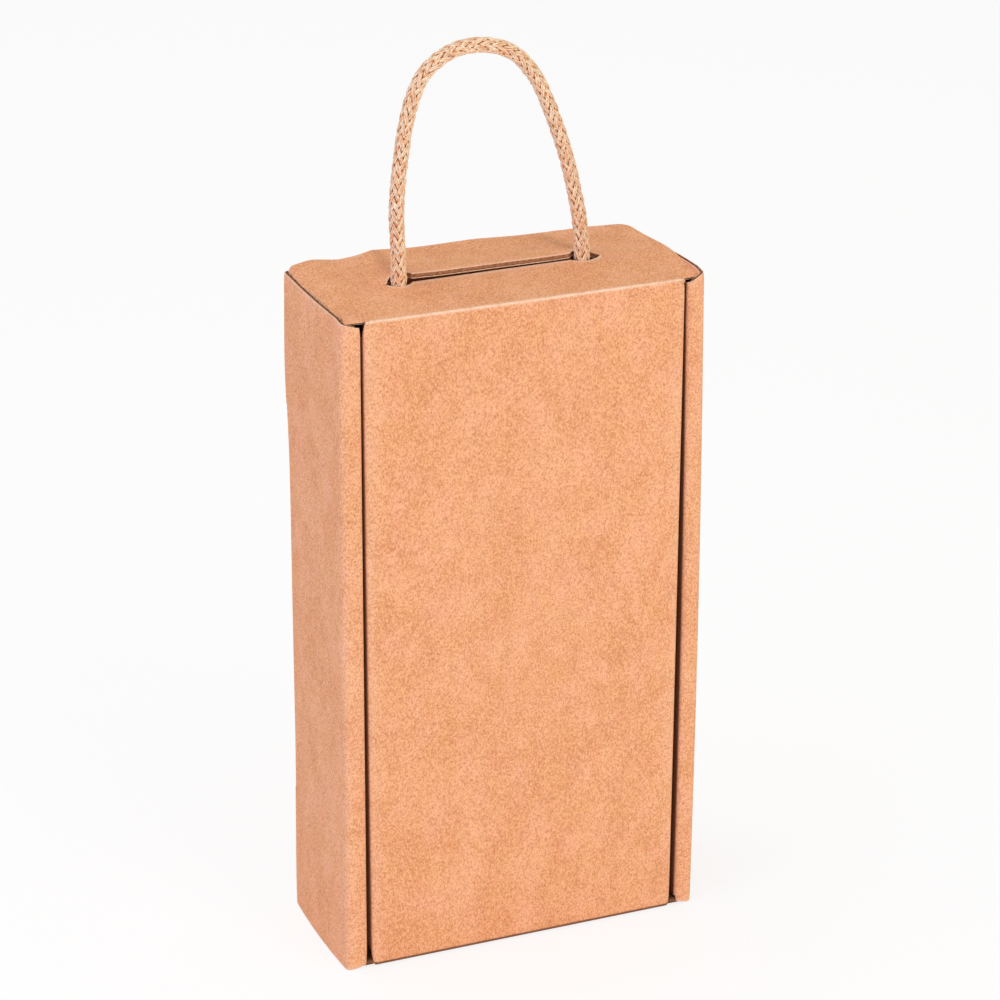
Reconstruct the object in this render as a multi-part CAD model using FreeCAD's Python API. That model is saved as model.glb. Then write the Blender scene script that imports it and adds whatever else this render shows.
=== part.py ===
import FreeCAD, Part
import math
import os

os.makedirs("parts", exist_ok=True)

# Upright carton for two bottles. Millimetres, Z up, the lid faces -Y, the origin is under the middle.
BOX_H = 380.0
BOX_W = 204.0
BOX_D = 84.0
BOARD = 3.0  # thickness of the corrugated board
BEND = 2.0  # radius of the middle of the board at a fold
LAYER_GAP = 0.8  # air between the layers of a double side wall
CLEAR = 0.3  # between pieces that move against each other
FLAP_SIDE_GAP = 0.6  # between the top flap and each outer side wall
LID_SIDE_GAP = 2.2  # the dark line down each side of the lid
BEVEL = 5.0  # how far the inner end of a front strip stops short of the outer end
LID_EAR_DEPTH = 38.0
LID_EAR_SHORT = 9.0  # how far a lid ear stops short of the lid's ends
LID_EAR_TAPER = 10.0
WALL_EAR_LENGTH = 68.0
WALL_EAR_TAPER = 14.0
TAB_LENGTH = 230.0  # long tab of the inner side wall, locked in the back
TAB_CLEAR = 1.0
TAB_DEPTH = 2.6  # how far the tab goes into the back
SLOT_RECESS = 1.4  # how far the cut edge beside the tab slot lies in from the back
FLAP_SLOPE = 3.0  # degrees that the resting flap stands up from level
FLAP_CORNER = 10.0  # radius of the rear corners
SHOULDER_BACK = 0.6  # how far the shoulders start behind the crease's own edge
ROPE = 8.0  # rope diameter
LEG_LEFT = -54.6
LEG_RIGHT = 49.4
ROPE_Y = -2.0
ROPE_HOLE = 10.0
KNOT = 17.0  # knot diameter
KNOT_TOP = 7.0  # height of the knot's flat top over its middle
SLIT = 1.2  # width of the slit between the two rope openings
EYE_WIDTH = 10.8  # width of the pointed opening at each rope leg
EYE_LEFT = (-61.5, -46.0)
EYE_RIGHT = (43.0, 60.0)
CARD = 1.5  # thickness of the divider's board
CARD_BEND = 1.0
WEB_SPACING = 2.4  # between the middles of the two plies of the divider's web
DIVIDER_H = 300.0
DIVIDER_GAP = 1.4  # between the divider's wings and the inner side walls
DIVIDER_SHORT = 5.0  # between the divider's web and the lid

# The rope's corners over the box: sideways from the middle, and up from the top of the carton.
ROPE_OVER_BOX = [
    (LEG_LEFT, 16.0),
    (-56.2, 42.0),
    (-53.5, 69.0),
    (-49.3, 94.0),
    (-41.5, 117.0),
    (-20.5, 129.5),
    (4.5, 125.5),
    (19.5, 109.0),
    (28.5, 87.0),
    (37.6, 61.5),
    (44.6, 35.0),
    (LEG_RIGHT, 12.0),
]

half_w = BOX_W / 2
half_d = BOX_D / 2
pitch = BOARD + LAYER_GAP
outer_x = half_w - BOARD / 2  # middle of each layer of a side wall
ear_x = outer_x - pitch
inner_x = ear_x - pitch
strip_in = inner_x - BOARD / 2
back_y = half_d - BOARD / 2
front_y = BOARD / 2 - half_d
inside_back = half_d - BOARD
inside_front = BOARD - half_d
wall_front = inside_front + CLEAR
wall_back = inside_back - CLEAR
bottom_z = BOARD / 2
top_outside = BOX_H - BOARD - CLEAR
top_z = top_outside - BOARD / 2
top_inside = top_outside - BOARD
lid_half = strip_in - LID_SIDE_GAP
flap_half = outer_x - BOARD / 2 - FLAP_SIDE_GAP
knot_z = top_inside - CLEAR - KNOT_TOP
rope_end_z = top_inside - CLEAR
slot_low = (BOX_H - TAB_LENGTH) / 2 - TAB_CLEAR
slot_high = BOX_H - slot_low


def corner(before, at, after, offset):
    """Where the two lines beside a point meet when both move sideways by offset."""
    ax, ay = at[0] - before[0], at[1] - before[1]
    bx, by = after[0] - at[0], after[1] - at[1]
    a, b = math.hypot(ax, ay), math.hypot(bx, by)
    ax, ay, bx, by = ax / a, ay / a, bx / b, by / b
    turn = ax * by - ay * bx
    share = math.tan(math.atan2(turn, ax * bx + ay * by) / 2)
    move = (-ay * offset - ax * share * offset, ax * offset - ay * share * offset)
    return (at[0] + move[0], at[1] + move[1]), (ax, ay), (bx, by), turn


def side_line(points, offset, bend):
    """One face of a folded sheet: line ends and arc middles, from the first point to the last."""
    steps = []
    for i, at in enumerate(points):
        if i in (0, len(points) - 1):
            j = 1 if i == 0 else i - 1
            sign = 1 if i == 0 else -1
            dx, dy = sign * (points[j][0] - at[0]), sign * (points[j][1] - at[1])
            run = math.hypot(dx, dy)
            steps.append([(at[0] - dy / run * offset, at[1] + dx / run * offset)])
            continue
        at, a, b, turn = corner(points[i - 1], at, points[i + 1], offset)
        radius = bend - offset if turn > 0 else bend + offset
        half = abs(math.asin(max(-1.0, min(1.0, turn)))) / 2
        reach = radius * math.tan(half)
        start = (at[0] - a[0] * reach, at[1] - a[1] * reach)
        end = (at[0] + b[0] * reach, at[1] + b[1] * reach)
        inward = (b[0] - a[0], b[1] - a[1])
        size = math.hypot(*inward)
        pull = radius / math.cos(half) - radius
        middle = (at[0] + inward[0] / size * pull, at[1] + inward[1] / size * pull)
        steps.append([start, middle, end])
    return steps


def folded(points, thickness, bend, place, travel):
    """A folded sheet: the line of its middle, made thick and drawn out along travel."""
    edges = []
    last = None
    first = None
    left = side_line(points, thickness / 2, bend)
    right = [list(reversed(s)) for s in reversed(side_line(points, -thickness / 2, bend))]
    for step in left + right:
        step = [place(*p) for p in step]
        if last is None:
            first = step[0]
        elif last.distanceToPoint(step[0]) > 1e-6:
            edges.append(Part.LineSegment(last, step[0]).toShape())
        if len(step) == 3:
            edges.append(Part.Arc(*step).toShape())
        last = step[-1]
    edges.append(Part.LineSegment(last, first).toShape())
    return Part.Face(Part.Wire(edges)).extrude(travel)


def across(z):
    """Places a drawing of the plan at height z."""
    return lambda x, y: FreeCAD.Vector(x, y, z)


def from_side(x):
    """Places a drawing of the side view at x."""
    return lambda y, z: FreeCAD.Vector(x, y, z)


def from_front(y):
    """Places a drawing of the front view at y."""
    return lambda x, z: FreeCAD.Vector(x, y, z)


def box(x0, x1, y0, y1, z0, z1):
    low = FreeCAD.Vector(min(x0, x1), min(y0, y1), min(z0, z1))
    return Part.makeBox(abs(x1 - x0), abs(y1 - y0), abs(z1 - z0), low)


def prism(points, travel):
    """A straight solid on a polygon of points in space."""
    loop = [FreeCAD.Vector(*p) for p in points]
    return Part.Face(Part.makePolygon(loop + loop[:1])).extrude(FreeCAD.Vector(*travel))


def whole(shape):
    """The shape as one clean solid."""
    shape = shape.removeSplitter()
    return shape.Solids[0] if len(shape.Solids) == 1 else shape


def side_wrap():
    """The back, the outer side walls, the front strips and the inner side walls."""
    half = [
        (outer_x, back_y),
        (outer_x, front_y),
        (inner_x, front_y),
        (inner_x, wall_back),
    ]
    points = [(-x, y) for x, y in reversed(half)] + half
    wrap = folded(points, BOARD, BEND, across(0), FreeCAD.Vector(0, 0, BOX_H))
    low = BOARD + LAYER_GAP
    high = top_inside - LAYER_GAP
    cuts = []
    for side in (-1, 1):
        reach = (side * (strip_in - 1), side * (inner_x + BOARD / 2 + LAYER_GAP / 2))
        cuts.append(box(*reach, inside_front, inside_back, -1, low))
        cuts.append(box(*reach, inside_front, inside_back, high, BOX_H + 1))
        for z, up in ((0, 1), (BOX_H, -1)):
            tip = [
                (side * half_w, -half_d - 1, z),
                (side * (strip_in - 1), -half_d - 1, z + up * BEVEL * 1.1),
                (side * (strip_in - 1), -half_d - 1, z - up * 5),
                (side * half_w, -half_d - 1, z - up * 5),
            ]
            cuts.append(prism(tip, (0, BOARD + 1, 0)))
        slot = (side * (strip_in - CLEAR), side * (half_w + 1))
        gap = (side * (strip_in - CLEAR), side * (outer_x - BOARD / 2 - 0.1))
        cuts.append(box(*slot, half_d - SLOT_RECESS, half_d + 1, slot_low, slot_high))
        cuts.append(box(*gap, inside_back, half_d + 1, slot_low, slot_high))
    middle = outer_x - BOARD / 2 - CLEAR
    cuts.append(box(-middle, middle, inside_back - 0.1, half_d + 1, -1, 60))
    cuts.append(box(-middle, middle, inside_back - 0.1, half_d + 1, BOX_H - 60, BOX_H + 1))
    wrap = wrap.cut(Part.makeCompound(cuts))
    tabs = []
    for side in (-1, 1):
        reach = (side * strip_in, side * (strip_in + BOARD))
        ends = (slot_low + TAB_CLEAR, slot_high - TAB_CLEAR)
        tabs.append(box(*reach, wall_back - 1, inside_back + TAB_DEPTH, *ends))
    return wrap.fuse(tabs)


def end_wall(level, up):
    """The bottom or top wall with its fold to the back and its two trapped ears."""
    back_end = level + up * (60 - abs(level - (0 if up > 0 else BOX_H)))
    width = outer_x - BOARD / 2 - CLEAR
    side = [(back_y, back_end), (back_y, level), (wall_front, level)]
    floor = folded(side, BOARD, BEND, from_side(-width), FreeCAD.Vector(2 * width, 0, 0))
    relief = []
    for s in (-1, 1):
        edge = (s * (ear_x - BEND - BOARD / 2), s * (width + 1))
        heights = sorted((level - up * BOARD, level + up * (BEND + BOARD)))
        relief.append(box(*edge, wall_front - 1, half_d + 1, *heights))
    floor = floor.cut(Part.makeCompound(relief))
    ear_end = level + up * (WALL_EAR_LENGTH + BOARD / 2)
    front = [(-ear_x, ear_end), (-ear_x, level), (ear_x, level), (ear_x, ear_end)]
    depth = wall_back - wall_front - BEND - BOARD
    ears = folded(front, BOARD, BEND, from_front(wall_front), FreeCAD.Vector(0, depth, 0))
    slopes = []
    for y, back in ((wall_front, 1), (wall_front + depth, -1)):
        slope = [
            (-half_w, y - back, level + up * 2 * BOARD),
            (-half_w, y - back, ear_end + up),
            (-half_w, y + back * WALL_EAR_TAPER, ear_end + up),
        ]
        slopes.append(prism(slope, (BOX_W, 0, 0)))
    ears = ears.cut(Part.makeCompound(slopes))
    return floor.fuse(ears)


def tray():
    """The carton's body, one folded blank."""
    body = side_wrap().fuse([end_wall(bottom_z, 1), end_wall(top_z, -1)])
    holes = []
    for x in (LEG_LEFT, LEG_RIGHT):
        low = FreeCAD.Vector(x, ROPE_Y, top_inside - 1)
        holes.append(Part.makeCylinder(ROPE_HOLE / 2, BOARD + 2, low))
    return whole(body.cut(Part.makeCompound(holes)))


def lid():
    """The front panel with an ear down each side, round at both creases."""
    ear_end = front_y - BOARD / 2 + LID_EAR_DEPTH
    middle = lid_half - BOARD / 2
    plan = [(-middle, ear_end), (-middle, front_y), (middle, front_y), (middle, ear_end)]
    height = BOX_H - BOARD
    panel = folded(plan, BOARD, BEND, across(BOARD / 2), FreeCAD.Vector(0, 0, height))
    cuts = []
    for z, up in ((0, 1), (BOX_H, -1)):
        end = [
            (-half_w, inside_front, z),
            (-half_w, inside_front, z + up * LID_EAR_SHORT),
            (-half_w, ear_end + 1, z + up * (LID_EAR_SHORT + LID_EAR_TAPER)),
            (-half_w, ear_end + 1, z),
        ]
        cuts.append(prism(end, (BOX_W, 0, 0)))
    panel = panel.cut(Part.makeCompound(cuts))
    rounds = []
    length = 2 * (middle - BEND)
    for z in (BOARD / 2, BOX_H - BOARD / 2):
        low = FreeCAD.Vector(BEND - middle, front_y, z)
        rounds.append(Part.makeCylinder(BOARD / 2, length, low, FreeCAD.Vector(1, 0, 0)))
    return whole(panel.fuse(rounds))


def eye(ends, y):
    """A pointed opening between two arcs, drawn on the flap before it is tilted."""
    a, b = FreeCAD.Vector(ends[0], y, 0), FreeCAD.Vector(ends[1], y, 0)
    side = FreeCAD.Vector(0, EYE_WIDTH / 2, 0)
    mid = (a + b) * 0.5
    edges = [Part.Arc(a, mid + side, b).toShape(), Part.Arc(b, mid - side, a).toShape()]
    return Part.Face(Part.Wire(edges)).extrude(FreeCAD.Vector(0, 0, 4 * BOARD))


def top_flap():
    """The flap over the top, with shoulders wider than the lid and a slit for the rope."""
    tilt = math.radians(FLAP_SLOPE)
    start = BOARD / 2 + CLEAR
    shoulder = BOARD / 2 + CLEAR + SHOULDER_BACK
    length = (half_d - front_y - BOARD / 2 * math.sin(tilt)) / math.cos(tilt)
    thick = FreeCAD.Vector(0, 0, BOARD)
    sheet = box(-flap_half, flap_half, shoulder, length, 0, BOARD)
    sheet = sheet.fuse(box(-lid_half + 1, lid_half - 1, start, shoulder + 1, 0, BOARD))
    sheet = sheet.removeSplitter()
    rear = []
    for e in sheet.Edges:
        if e.CenterOfMass.y > length - 1 and abs(e.CenterOfMass.x) > flap_half - 1:
            rear.append(e)
    rear = [e for e in rear if e.BoundBox.YLength < 1]
    sheet = sheet.makeFillet(FLAP_CORNER, rear)
    slit_y = (ROPE_Y - front_y) / math.cos(tilt)
    low = slit_y - SLIT / 2
    slit = box(EYE_LEFT[1] - 1, EYE_RIGHT[0] + 1, low, low + SLIT, -BOARD, 2 * BOARD)
    eyes = [eye(EYE_LEFT, slit_y), eye(EYE_RIGHT, slit_y)]
    for e in eyes:
        e.translate(FreeCAD.Vector(0, 0, -BOARD))
    sheet = sheet.cut(slit.fuse(eyes))
    sheet.translate(thick * -0.5)
    sheet.rotate(FreeCAD.Vector(0, 0, 0), FreeCAD.Vector(1, 0, 0), FLAP_SLOPE)
    sheet.translate(FreeCAD.Vector(0, front_y, BOX_H - BOARD / 2))
    return whole(sheet)


def rope_route():
    """The rope's corners from knot to knot."""
    over = [(x, BOX_H + z) for x, z in ROPE_OVER_BOX]
    ends = [(LEG_LEFT, rope_end_z)] + over + [(LEG_RIGHT, rope_end_z)]
    return [FreeCAD.Vector(x, ROPE_Y, z) for x, z in ends]


def tube(points, diameter):
    """A tube along straight runs joined by tangent arcs."""
    edges = []
    radii = []
    last = points[0]
    for before, at, after in zip(points, points[1:], points[2:]):
        a, b = before - at, after - at
        shorter = min(a.Length, b.Length)
        half_turn = (math.pi - a.getAngle(b)) / 2
        radius = 0.45 * shorter / math.tan(half_turn)
        a.normalize()
        b.normalize()
        start, end = at + a * (0.45 * shorter), at + b * (0.45 * shorter)
        inward = a + b
        inward.normalize()
        middle = at + inward * (radius / math.cos(half_turn) - radius)
        edges.append(Part.LineSegment(last, start).toShape())
        edges.append(Part.Arc(start, middle, end).toShape())
        radii.append(radius)
        last = end
    edges.append(Part.LineSegment(last, points[-1]).toShape())
    wire = Part.Wire(edges)
    run = points[1] - points[0]
    ring = Part.Wire(Part.makeCircle(diameter / 2, points[0], run))
    solid = wire.makePipeShell([ring], True, True)
    print("radii", [round(r, 1) for r in radii])
    print("length", round(wire.Length, 1))
    print("volume against section x length", solid.Volume / wire.Length / math.pi / diameter**2 * 4)
    return solid


def knot(x):
    """A stopper knot under the top wall, flat where the rope enters it."""
    half = KNOT / 2
    flat = math.sqrt(half**2 - KNOT_TOP**2)
    profile = [(0, KNOT_TOP), (flat, KNOT_TOP)]
    for degrees in (27, 0, -27, -55):
        turn = math.radians(degrees)
        profile.append((half * math.cos(turn), half * math.sin(turn)))
    profile += [(0, -half), (0, KNOT_TOP)]
    loop = [FreeCAD.Vector(x + r, ROPE_Y, knot_z + z) for r, z in profile]
    middle = FreeCAD.Vector(x, ROPE_Y, knot_z)
    return Part.Face(Part.makePolygon(loop)).revolve(middle, FreeCAD.Vector(0, 0, 1), 360)


def bottle_divider():
    """A folded card: two wings on the back and a double web between the bottles."""
    wing_y = inside_back - (BEND - BOARD / 2) - CARD / 2
    web = WEB_SPACING / 2
    front = inside_front + DIVIDER_SHORT
    half = [(web, front), (web, wing_y), (strip_in - DIVIDER_GAP, wing_y)]
    points = [(-x, y) for x, y in reversed(half)] + half
    return folded(points, CARD, CARD_BEND, across(BOARD), FreeCAD.Vector(0, 0, DIVIDER_H))


def main():
    nodes = {
        "tray": tray(),
        "lid": lid(),
        "top_flap": top_flap(),
        "rope_handle": tube(rope_route(), ROPE),
        "knot_left": knot(LEG_LEFT),
        "knot_right": knot(LEG_RIGHT),
        "bottle_divider": bottle_divider(),
    }
    for name, shape in nodes.items():
        print(name, shape.isValid(), len(shape.Solids), round(shape.Volume), shape.BoundBox)
        shape.exportStep("parts/" + name + ".step")


main()
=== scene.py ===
import math

import bmesh
import bpy
import numpy as np
from mathutils import Matrix, Vector


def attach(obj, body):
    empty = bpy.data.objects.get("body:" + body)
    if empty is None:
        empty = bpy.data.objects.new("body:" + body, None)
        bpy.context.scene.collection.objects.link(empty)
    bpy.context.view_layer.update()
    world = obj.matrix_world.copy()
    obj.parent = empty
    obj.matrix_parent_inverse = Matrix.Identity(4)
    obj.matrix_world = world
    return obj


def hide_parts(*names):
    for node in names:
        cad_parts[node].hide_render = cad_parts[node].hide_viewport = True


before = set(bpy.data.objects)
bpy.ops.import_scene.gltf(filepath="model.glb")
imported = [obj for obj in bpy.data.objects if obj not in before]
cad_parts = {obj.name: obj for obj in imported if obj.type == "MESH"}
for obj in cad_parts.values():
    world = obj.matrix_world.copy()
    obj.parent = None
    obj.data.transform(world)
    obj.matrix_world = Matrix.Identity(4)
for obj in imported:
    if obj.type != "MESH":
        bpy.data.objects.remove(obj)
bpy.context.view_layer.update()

MM = 0.001
# Sizes are in mm. MM turns them into the metres of the scene.
H, W, D = 380.0, 204.0, 84.0  # height, width and depth of the carton
T = 3.0  # thickness of the board
BEND = 2.0  # radius of the board's middle line in a fold
GAP = 0.8  # between the layers of a side wall
PITCH = 6.5  # from flute to flute
LINER = 0.42  # thickness of each outer paper
HW, HD = W / 2, D / 2
OUT_X = HW - T / 2  # middle of the outer side wall
EAR_X = OUT_X - T - GAP  # middle of the ears between the two side walls
IN_X = EAR_X - T - GAP  # middle of the inner side wall
BACK_Y = HD - T / 2
FRONT_Y = T / 2 - HD
TOP_Z = H - T - 0.3 - T / 2  # middle of the top wall
BACK_LOW, BACK_HIGH = 6.0, TOP_Z - 4.5  # where the back passes into the end walls
TILT = math.radians(3.0)  # slope of the top flap
ROPE = 8.0  # diameter
ROPE_Y = -2.0
ROPE_HOLE = 5.0  # radius of each hole in the top wall
LEG = (-54.6, 49.4)  # x of the rope's two legs
SLOT_Z = (74.0, 306.0)  # the slots for the tabs
LID_X = IN_X - T / 2 - 2.2 - T / 2


def make_camera():
    """A camera at the place from which the photograph was taken."""
    yaw, pitch, roll = (math.radians(a) for a in (22.322, 24.001, 0.127))
    fwd = Vector((math.sin(yaw) * math.cos(pitch), math.cos(yaw) * math.cos(pitch), -math.sin(pitch)))
    right = Vector((math.cos(yaw), -math.sin(yaw), 0))
    up = right.cross(fwd)
    r = math.cos(roll) * right + math.sin(roll) * up
    u = -math.sin(roll) * right + math.cos(roll) * up
    data = bpy.data.cameras.new("camera")
    data.sensor_width = 36
    data.lens = 147.40
    data.clip_end = 20
    obj = bpy.data.objects.new("camera", data)
    bpy.context.collection.objects.link(obj)
    place = Matrix((r, u, -fwd)).transposed().to_4x4()
    place.translation = Vector((-0.76463, -1.87085, 1.14782))
    obj.matrix_world = place
    bpy.context.scene.camera = obj


make_camera()


class Nodes:
    """Short names for the nodes of one material."""

    def __init__(self, name):
        self.mat = bpy.data.materials.new(name)
        self.mat.use_nodes = True
        self.tree = self.mat.node_tree
        self.tree.nodes.clear()
        self.out = self.tree.nodes.new("ShaderNodeOutputMaterial")
        self.bsdf = self.tree.nodes.new("ShaderNodeBsdfPrincipled")
        self.link(self.bsdf.outputs[0], self.out.inputs[0])

    def link(self, a, b):
        self.tree.links.new(a, b)

    def put(self, socket, value):
        if hasattr(value, "is_output"):
            self.link(value, socket)
        else:
            socket.default_value = value

    def scaled(self, vector, scale):
        mapping = self.tree.nodes.new("ShaderNodeMapping")
        mapping.inputs["Scale"].default_value = scale
        self.link(vector, mapping.inputs[0])
        return mapping.outputs[0]

    def where(self, scale):
        coord = self.tree.nodes.new("ShaderNodeTexCoord")
        return self.scaled(coord.outputs["Object"], scale)

    def part(self, vector, index):
        node = self.tree.nodes.new("ShaderNodeSeparateXYZ")
        self.link(vector, node.inputs[0])
        return node.outputs[index]

    def attribute(self, name):
        node = self.tree.nodes.new("ShaderNodeAttribute")
        node.attribute_name = name
        return node

    def noise(self, vector, scale=1.0, detail=4.0, rough=0.55, distort=0.0):
        node = self.tree.nodes.new("ShaderNodeTexNoise")
        self.put(node.inputs["Vector"], vector)
        node.inputs["Scale"].default_value = scale
        node.inputs["Detail"].default_value = detail
        node.inputs["Roughness"].default_value = rough
        node.inputs["Distortion"].default_value = distort
        return node.outputs["Fac"]

    def math(self, kind, a, b=0.0, clamp=False):
        node = self.tree.nodes.new("ShaderNodeMath")
        node.operation = kind
        node.use_clamp = clamp
        self.put(node.inputs[0], a)
        self.put(node.inputs[1], b)
        return node.outputs[0]

    def ramp(self, value, low, high, to_low=0.0, to_high=1.0):
        node = self.tree.nodes.new("ShaderNodeMapRange")
        self.put(node.inputs[0], value)
        for i, v in enumerate((low, high, to_low, to_high)):
            node.inputs[i + 1].default_value = v
        return node.outputs[0]

    def mix(self, share, a, b):
        node = self.tree.nodes.new("ShaderNodeMix")
        node.data_type = "RGBA"
        self.put(node.inputs["Factor"], share)
        self.put(node.inputs["A"], a)
        self.put(node.inputs["B"], b)
        return node.outputs["Result"]

    def bump(self, height, distance, strength):
        node = self.tree.nodes.new("ShaderNodeBump")
        node.inputs["Strength"].default_value = strength
        node.inputs["Distance"].default_value = distance
        self.put(node.inputs["Height"], height)
        return node.outputs[0]

    def finish(self, colour, rough, normal):
        self.put(self.bsdf.inputs["Base Color"], colour)
        self.put(self.bsdf.inputs["Roughness"], rough)
        self.link(normal, self.bsdf.inputs["Normal"])
        return self.mat


def srgb(r, g, b):
    """A colour given in the picture's own 0 to 255 steps."""
    line = [c / 255 / 12.92 if c < 10.3 else ((c / 255 + 0.055) / 1.055) ** 2.4 for c in (r, g, b)]
    return (*line, 1.0)


PINK, TAN = srgb(250, 178, 144), srgb(230, 160, 98)
# Pale colour for worn folds and cut ends, also used as a painted highlight; dark colour for painted shade.
PALE_WEAR_AND_HIGHLIGHT, SHADE = srgb(255, 222, 192), srgb(96, 52, 26)


def kraft(name, base, pale, dark, strength=1.0):
    """Brown kraft liner: clouds, tints, fibres along the flutes, specks, pale worn folds and cut ends, a
    painted highlight along the top fold, and painted shade in gaps and under folds.
    """
    n = Nodes(name)
    flute = n.attribute("flute").outputs["Vector"]
    wear = n.attribute("wear").outputs["Fac"]
    along = n.scaled(flute, (1.0, 0.42, 1.0))
    cloud = n.noise(n.where((1, 1, 0.8)), 42, 5, 0.6, 0.4)
    patch = n.noise(n.where((1, 1, 0.55)), 130, 4, 0.6, 0.2)
    tint = n.noise(n.where((1, 1, 0.6)), 75, 4, 0.6, 0.3)
    fibre = n.noise(along, 1.5, 6, 0.8)
    grain = n.noise(n.where((1, 1, 0.75)), 1150, 5, 0.85)
    speck = n.noise(n.where((1, 1, 1)), 900, 2, 0.5)
    fleck = n.noise(along, 4.2, 1, 0.4)
    colour = base
    # Each layer mixes in its colour as its noise goes from the first value to the second.
    for noise, start, end, share, to in (
        (cloud, 0.38, 0.62, 0.55, pale),
        (patch, 0.50, 0.68, 0.35, dark),
        (tint, 0.51, 0.64, 0.55, PINK),
        (tint, 0.49, 0.36, 0.50, TAN),
        (fibre, 0.49, 0.63, 0.85, pale),
        (fibre, 0.49, 0.37, 0.85, dark),
        (grain, 0.50, 0.63, 0.90, pale),
        (grain, 0.49, 0.36, 0.90, dark),
        (speck, 0.60, 0.72, 0.35, dark),
        (fleck, 0.70, 0.78, 0.55, dark),
    ):
        colour = n.mix(n.ramp(noise, start, end, 0.0, share * strength), colour, to)
    uneven = n.ramp(n.noise(n.where((1, 1, 1)), 160, 4, 0.7), 0.3, 0.55, 0.35, 1.0)
    # Positive values pale the colour: worn folds and cut ends, and a painted highlight along the top fold.
    wear_and_light_amount = n.math("MULTIPLY", wear, uneven)
    wear_and_light_amount = n.math("MULTIPLY", wear_and_light_amount, n.ramp(fibre, 0.3, 0.6, 0.6, 1.0), True)
    colour = n.mix(wear_and_light_amount, colour, PALE_WEAR_AND_HIGHLIGHT)
    # Negative values paint shade into gaps, creases and the underside of folds.
    colour = n.mix(n.math("MULTIPLY", wear, -1.0, True), colour, SHADE)
    # A liner follows its flutes by a hair's breadth.
    wave = n.math("SINE", n.math("MULTIPLY", n.part(flute, 0), 2 * math.pi / PITCH))
    height = n.math("MULTIPLY", wave, 0.012)
    for noise, tall in ((fibre, 0.05), (speck, 0.03), (cloud, 0.10)):
        height = n.math("ADD", height, n.math("MULTIPLY", noise, tall))
    rough = n.ramp(fibre, 0.3, 0.7, 0.78, 0.92)
    return n.finish(colour, rough, n.bump(height, 0.0012, 0.9))


def cut_paper(name, colour_a, colour_b):
    """Rough paper in two mixed colours, for cut edges and for the fluting."""
    n = Nodes(name)
    fine = n.noise(n.where((1, 1, 1)), 1400, 3, 0.6)
    broad = n.noise(n.where((1, 1, 1)), 220, 3, 0.6)
    colour = n.mix(n.ramp(fine, 0.35, 0.65), colour_a, colour_b)
    colour = n.mix(n.ramp(broad, 0.45, 0.7, 0.0, 0.4), colour, colour_b)
    return n.finish(colour, 0.9, n.bump(fine, 0.0004, 0.6))


def rope_fibre():
    """Natural fibre in long streaks, with painted shade where a strand dips under its neighbours."""
    n = Nodes("rope_fibre")
    strand = n.attribute("strand").outputs["Vector"]
    fibre = n.noise(n.scaled(strand, (0.33, 0.7, 0.2)), 1.0, 4, 0.7)
    broad = n.noise(n.where((1, 1, 1)), 200, 3, 0.6)
    colour = n.mix(n.ramp(fibre, 0.42, 0.54), srgb(232, 156, 98), srgb(255, 238, 208))
    colour = n.mix(n.ramp(broad, 0.5, 0.7, 0.0, 0.4), colour, srgb(234, 164, 104))
    # Painted shade: darker as a strand's lift falls below zero, under its neighbours.
    colour = n.mix(n.ramp(n.part(strand, 2), 0.0, -0.9, 0.0, 0.95), colour, srgb(158, 86, 36))
    return n.finish(colour, 0.85, n.bump(fibre, 0.0004, 0.9))


KRAFT = kraft("kraft_outside", srgb(231, 156, 106), srgb(255, 196, 148), srgb(196, 119, 70))
KRAFT_IN = kraft("kraft_inside", srgb(220, 154, 110), srgb(238, 180, 138), srgb(190, 122, 80), 0.8)
MEDIUM = cut_paper("flute_paper", srgb(206, 152, 112), srgb(160, 108, 74))
EDGE = cut_paper("cut_edge", srgb(255, 224, 196), srgb(236, 190, 152))
ROPE_MAT = rope_fibre()
BOARD_SLOTS = [KRAFT, KRAFT_IN, MEDIUM, EDGE]


def run_along(line):
    """The distance run at each point of a line."""
    return np.concatenate([[0], np.cumsum(np.linalg.norm(np.diff(line, axis=0), axis=1))])


def nurbs_line(points, name):
    """Points read along the smooth NURBS spline that has these corners."""
    data = bpy.data.curves.new(name, "CURVE")
    data.dimensions = "3D"
    data.resolution_u = 24
    spline = data.splines.new("NURBS")
    spline.points.add(len(points) - 1)
    for p, at in zip(spline.points, points):
        p.co = (*at, 1)
    spline.order_u = 3
    spline.use_endpoint_u = True
    obj = bpy.data.objects.new(name, data)
    mesh = bpy.data.meshes.new_from_object(obj)
    line = np.array([v.co for v in mesh.vertices], float)
    bpy.data.meshes.remove(mesh)
    bpy.data.objects.remove(obj)
    bpy.data.curves.remove(data)
    return line


# The rope's middle line as (x, z), from under the left hole to under the right one.
ROUTE = [
    (LEG[0], 373.4),
    (LEG[0], 396.0),
    (-56.2, 422.0),
    (-53.5, 449.0),
    (-49.3, 474.0),
    (-41.0, 496.0),
    (-20.0, 507.8),
    (5.5, 504.2),
    (21.2, 488.5),
    (30.5, 467.0),
    (39.6, 441.5),
    (45.8, 415.0),
    (LEG[1], 392.0),
    (LEG[1], 373.4),
]
ROPE_LINE = nurbs_line([(x * MM, ROPE_Y * MM, z * MM) for x, z in ROUTE], "rope_route")


def evenly(line, step):
    """The same line in equal steps, with the distance run at each point."""
    run = run_along(line)
    at = np.linspace(0, run[-1], int(round(run[-1] / step)) + 1)
    return at, np.stack([np.interp(at, run, line[:, k]) for k in range(3)], axis=1)


def frames_along(line):
    """The direction of a line at each point, with two directions across it that don't twist."""
    ahead = np.gradient(line, axis=0)
    ahead /= np.linalg.norm(ahead, axis=1)[:, None]
    side = np.zeros_like(line)
    first = np.array([0.0, 1.0, 0.0])
    for i, a in enumerate(ahead):
        first = first - a * first.dot(a)
        first /= np.linalg.norm(first)
        side[i] = first
    return ahead, side, np.cross(ahead, side)


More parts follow.
